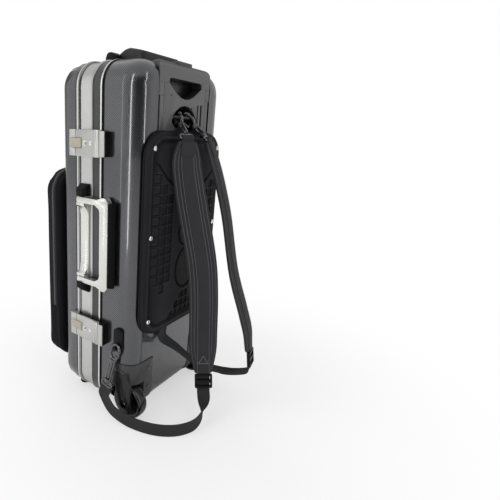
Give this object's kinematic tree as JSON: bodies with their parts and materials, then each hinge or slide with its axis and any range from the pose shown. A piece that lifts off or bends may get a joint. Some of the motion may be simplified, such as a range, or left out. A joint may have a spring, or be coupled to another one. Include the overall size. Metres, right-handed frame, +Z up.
{
  "type": "alto saxophone case",
  "caption": "Upright hard case with framed hinged shells, a pull-out trolley, corner wheels, lever latches, folding handles, a front pocket and padded shoulder straps.",
  "frame": {"origin": "centre of the bounding box in X and Y, on the floor the case stands on", "axes": "+X across the case towards the latches and the side handle, +Y towards the trolley and the back, +Z up"},
  "size_m": [0.3124, 0.4034, 0.6798],
  "materials": {
    "shell": "carbon-fibre weave under clear gloss coat",
    "frame_metal": "satin anodised",
    "bright_metal": "bright brushed",
    "silver_parts": "satin silver",
    "grey_plastic": "matt, fine texture",
    "black_plastic": "satin black",
    "rubber": "matt black",
    "tube": "grey anodised",
    "foam": "moulded foam with cloth face",
    "pocket_cloth": "woven nylon",
    "zip": "coil zip tape",
    "webbing": "black webbing and padded cloth",
    "gunmetal": "dark plated",
    "key_beige": "satin beige"
  },
  "bodies": {
    "case": {"base_shell": "shell", "base_frame": "frame_metal", "base_trim": "bright_metal", "hinge_base_leaf_upper": "bright_metal", "hinge_base_leaf_lower": "bright_metal", "side_handle_plate": "silver_parts", "trolley_housing": "grey_plastic", "wheel_housing_left": "grey_plastic", "wheel_housing_right": "grey_plastic", "trolley_tube_outer_left": "black_plastic", "trolley_tube_outer_right": "black_plastic", "latch_block_upper": "black_plastic", "latch_block_lower": "black_plastic", "side_handle_block_upper": "black_plastic", "side_handle_block_lower": "black_plastic", "top_handle_block_left": "black_plastic", "top_handle_block_right": "black_plastic", "strap_tab": "black_plastic", "strap_slider_first": "black_plastic", "strap_slider_second": "black_plastic", "base_lining": "foam", "back_pad": "foam", "strap_pad_first": "webbing", "strap_pad_second": "webbing", "strap_web_first": "webbing", "strap_web_second": "webbing", "wheel_axle_left": "gunmetal", "wheel_axle_right": "gunmetal", "strap_hook_top_first": "gunmetal", "strap_hook_top_second": "gunmetal", "strap_hook_low": "gunmetal"},
    "lid": {"lid_shell": "shell", "lid_frame": "frame_metal", "lid_lining": "foam", "pocket": "pocket_cloth", "pocket_zip": "zip", "zip_puller": "gunmetal", "front_foot_left": "rubber", "front_foot_right": "rubber", "side_foot_upper": "rubber", "side_foot_lower": "rubber", "hinge_lid_leaf_upper": "bright_metal", "hinge_lid_leaf_lower": "bright_metal", "latch_catch_upper": "silver_parts", "latch_catch_lower": "silver_parts"},
    "trolley": {"trolley_grip": "grey_plastic", "trolley_tube_inner_left": "tube", "trolley_tube_inner_right": "tube"},
    "trolley_button": {"trolley_button": "black_plastic"},
    "side_handle": {"side_handle_bail": "silver_parts", "side_handle_rubber": "rubber"},
    "top_handle": {"top_handle_bail": "rubber"},
    "latch_lever_upper": {"latch_lever_upper": "silver_parts"},
    "latch_lever_lower": {"latch_lever_lower": "silver_parts"},
    "latch_key_upper": {"latch_key_upper": "key_beige"},
    "latch_key_lower": {"latch_key_lower": "key_beige"},
    "wheel_left": {"wheel_hub_left": "black_plastic", "wheel_tyre_left": "rubber"},
    "wheel_right": {"wheel_hub_right": "black_plastic", "wheel_tyre_right": "rubber"}
  },
  "joints": [
    {"name": "lid_hinge", "type": "hinge", "parent": "case", "child": "lid", "pos_m": [-0.13567, -0.0991, 0.338], "axis": [0, 0, -1], "range_deg": [0, 110]},
    {"name": "trolley_slide", "type": "slide", "parent": "case", "child": "trolley", "axis": [0, 0, 1], "range_m": [0, 0.266]},
    {"name": "trolley_button_press", "type": "slide", "parent": "trolley", "child": "trolley_button", "axis": [0, 0, -1], "range_m": [0, 0.003], "stiffness_N_per_m": 800, "springref_m": -0.001},
    {"name": "side_handle_pivot", "type": "hinge", "parent": "case", "child": "side_handle", "pos_m": [0.14683, -0.0864, 0.345], "axis": [0, 0, -1], "range_deg": [0, 90]},
    {"name": "top_handle_pivot", "type": "hinge", "parent": "case", "child": "top_handle", "pos_m": [-0.00217, -0.0864, 0.672], "axis": [1, 0, 0], "range_deg": [0, 90]},
    {"name": "latch_lever_upper_pivot", "type": "hinge", "parent": "case", "child": "latch_lever_upper", "pos_m": [0.14623, -0.0434, 0.521], "axis": [0, 0, 1], "range_deg": [0, 80]},
    {"name": "latch_key_upper_press", "type": "slide", "parent": "lid", "child": "latch_key_upper", "axis": [-1, 0, 0], "range_m": [0, 0.0022], "stiffness_N_per_m": 600, "springref_m": -0.001},
    {"name": "latch_lever_lower_pivot", "type": "hinge", "parent": "case", "child": "latch_lever_lower", "pos_m": [0.14623, -0.0434, 0.168], "axis": [0, 0, 1], "range_deg": [0, 80]},
    {"name": "latch_key_lower_press", "type": "slide", "parent": "lid", "child": "latch_key_lower", "axis": [-1, 0, 0], "range_m": [0, 0.0022], "stiffness_N_per_m": 600, "springref_m": -0.001},
    {"name": "wheel_left_spin", "type": "hinge", "parent": "case", "child": "wheel_left", "pos_m": [0.11583, 0.0186, 0.035], "axis": [1, 0, 0], "continuous": true},
    {"name": "wheel_right_spin", "type": "hinge", "parent": "case", "child": "wheel_right", "pos_m": [-0.10817, 0.0186, 0.035], "axis": [1, 0, 0], "continuous": true}
  ]
}
